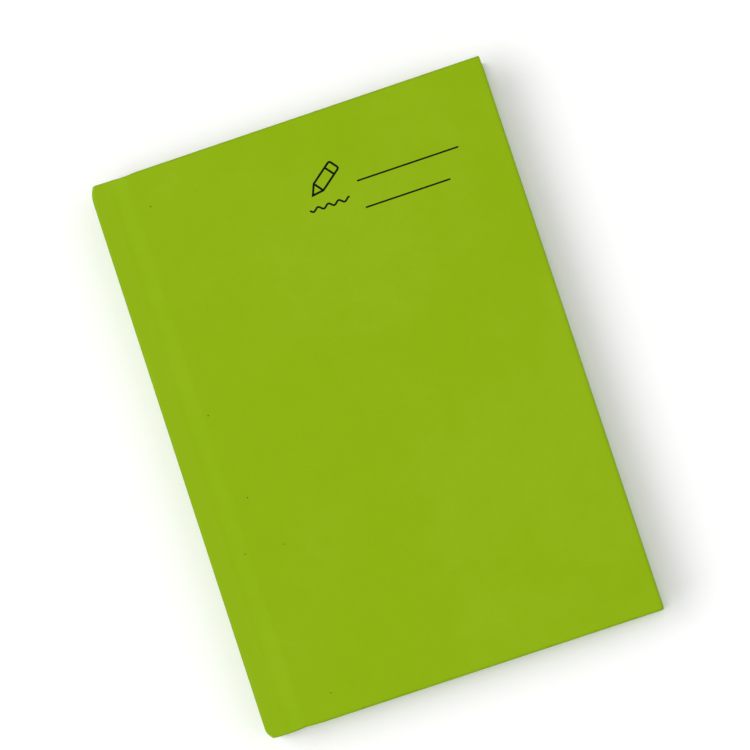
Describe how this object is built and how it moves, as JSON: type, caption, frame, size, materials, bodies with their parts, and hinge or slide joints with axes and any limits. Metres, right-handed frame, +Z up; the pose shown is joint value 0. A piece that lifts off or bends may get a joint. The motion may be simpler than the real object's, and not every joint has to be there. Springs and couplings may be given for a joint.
{
  "type": "pocket notebook",
  "caption": "Pocket-size case-bound notebook with smooth lime hard covers, pressed hinge grooves and a sewn block of pages; the covers swing open and the pages turn with them.",
  "frame": {"origin": "middle of the back cover's outer face, which rests on the table; the book lies closed", "axes": "+X from the spine to the fore-edge, +Y from the tail to the head, +Z up through the book to the front cover"},
  "size_m": [0.106, 0.149, 0.0155],
  "materials": {
    "cover_paper": "matte",
    "greyboard": "matte",
    "page_paper": "matte",
    "endpaper": "matte",
    "gauze": "matte",
    "spine_lining_paper": "matte",
    "band_cloth": "matte",
    "linen_thread": "matte"
  },
  "bodies": {
    "back_cover": {"back_board": "greyboard", "back_covering": "cover_paper", "back_pastedown": "endpaper", "back_mull_flap": "gauze"},
    "spine": {"spine_board": "greyboard", "spine_covering": "cover_paper", "spine_lining": "spine_lining_paper", "spine_mull": "gauze", "head_band": "band_cloth", "tail_band": "band_cloth"},
    "front_cover": {"front_board": "greyboard", "front_covering": "cover_paper", "front_pastedown": "endpaper", "front_mull_flap": "gauze"},
    "front_leaf": {"front_flyleaf": "endpaper"},
    "back_leaf": {"back_flyleaf": "endpaper"},
    "pages_1": {"section_1": "page_paper", "sewing_thread_1": "linen_thread"},
    "pages_2": {"section_2": "page_paper", "sewing_thread_2": "linen_thread"},
    "pages_3": {"section_3": "page_paper", "sewing_thread_3": "linen_thread"},
    "pages_4": {"section_4": "page_paper", "sewing_thread_4": "linen_thread"},
    "pages_5": {"section_5": "page_paper", "sewing_thread_5": "linen_thread"},
    "pages_6": {"section_6": "page_paper", "sewing_thread_6": "linen_thread"},
    "pages_7": {"section_7": "page_paper", "sewing_thread_7": "linen_thread"},
    "pages_8": {"section_8": "page_paper", "sewing_thread_8": "linen_thread"}
  },
  "joints": [
    {"name": "back_cover_hinge", "type": "hinge", "parent": "back_cover", "child": "spine", "pos_m": [-0.05255, 0, 0.00045], "axis": [0, -1, 0], "range_deg": [0, 90]},
    {"name": "front_cover_hinge", "type": "hinge", "parent": "spine", "child": "front_cover", "pos_m": [-0.05255, 0, 0.01503], "axis": [0, -1, 0], "range_deg": [0, 90]},
    {"name": "front_leaf_turn", "type": "hinge", "parent": "spine", "child": "front_leaf", "pos_m": [-0.05055, 0, 0.01303], "axis": [0, -1, 0], "range_deg": [0, 90]},
    {"name": "back_leaf_turn", "type": "hinge", "parent": "spine", "child": "back_leaf", "pos_m": [-0.05055, 0, 0.00245], "axis": [0, -1, 0], "range_deg": [-90, 0]},
    {"name": "pages_1_turn", "type": "hinge", "parent": "spine", "child": "pages_1", "pos_m": [-0.05055, 0, 0.01303], "axis": [0, -1, 0], "range_deg": [0, 90]},
    {"name": "pages_2_turn", "type": "hinge", "parent": "spine", "child": "pages_2", "pos_m": [-0.05055, 0, 0.01303], "axis": [0, -1, 0], "range_deg": [0, 90]},
    {"name": "pages_3_turn", "type": "hinge", "parent": "spine", "child": "pages_3", "pos_m": [-0.05055, 0, 0.01303], "axis": [0, -1, 0], "range_deg": [0, 90]},
    {"name": "pages_4_turn", "type": "hinge", "parent": "spine", "child": "pages_4", "pos_m": [-0.05055, 0, 0.01303], "axis": [0, -1, 0], "range_deg": [0, 90]},
    {"name": "pages_5_turn", "type": "hinge", "parent": "spine", "child": "pages_5", "pos_m": [-0.05055, 0, 0.00245], "axis": [0, -1, 0], "range_deg": [-90, 0]},
    {"name": "pages_6_turn", "type": "hinge", "parent": "spine", "child": "pages_6", "pos_m": [-0.05055, 0, 0.00245], "axis": [0, -1, 0], "range_deg": [-90, 0]},
    {"name": "pages_7_turn", "type": "hinge", "parent": "spine", "child": "pages_7", "pos_m": [-0.05055, 0, 0.00245], "axis": [0, -1, 0], "range_deg": [-90, 0]},
    {"name": "pages_8_turn", "type": "hinge", "parent": "spine", "child": "pages_8", "pos_m": [-0.05055, 0, 0.00245], "axis": [0, -1, 0], "range_deg": [-90, 0]}
  ],
  "couplings": [
    {"joint": "front_leaf_turn", "follows": "front_cover_hinge", "ratio": 0.985},
    {"joint": "back_leaf_turn", "follows": "back_cover_hinge", "ratio": -0.985},
    {"joint": "pages_1_turn", "follows": "front_cover_hinge", "ratio": 0.96},
    {"joint": "pages_2_turn", "follows": "front_cover_hinge", "ratio": 0.93},
    {"joint": "pages_3_turn", "follows": "front_cover_hinge", "ratio": 0.89},
    {"joint": "pages_4_turn", "follows": "front_cover_hinge", "ratio": 0.84},
    {"joint": "pages_5_turn", "follows": "back_cover_hinge", "ratio": -0.84},
    {"joint": "pages_6_turn", "follows": "back_cover_hinge", "ratio": -0.89},
    {"joint": "pages_7_turn", "follows": "back_cover_hinge", "ratio": -0.93},
    {"joint": "pages_8_turn", "follows": "back_cover_hinge", "ratio": -0.96}
  ]
}
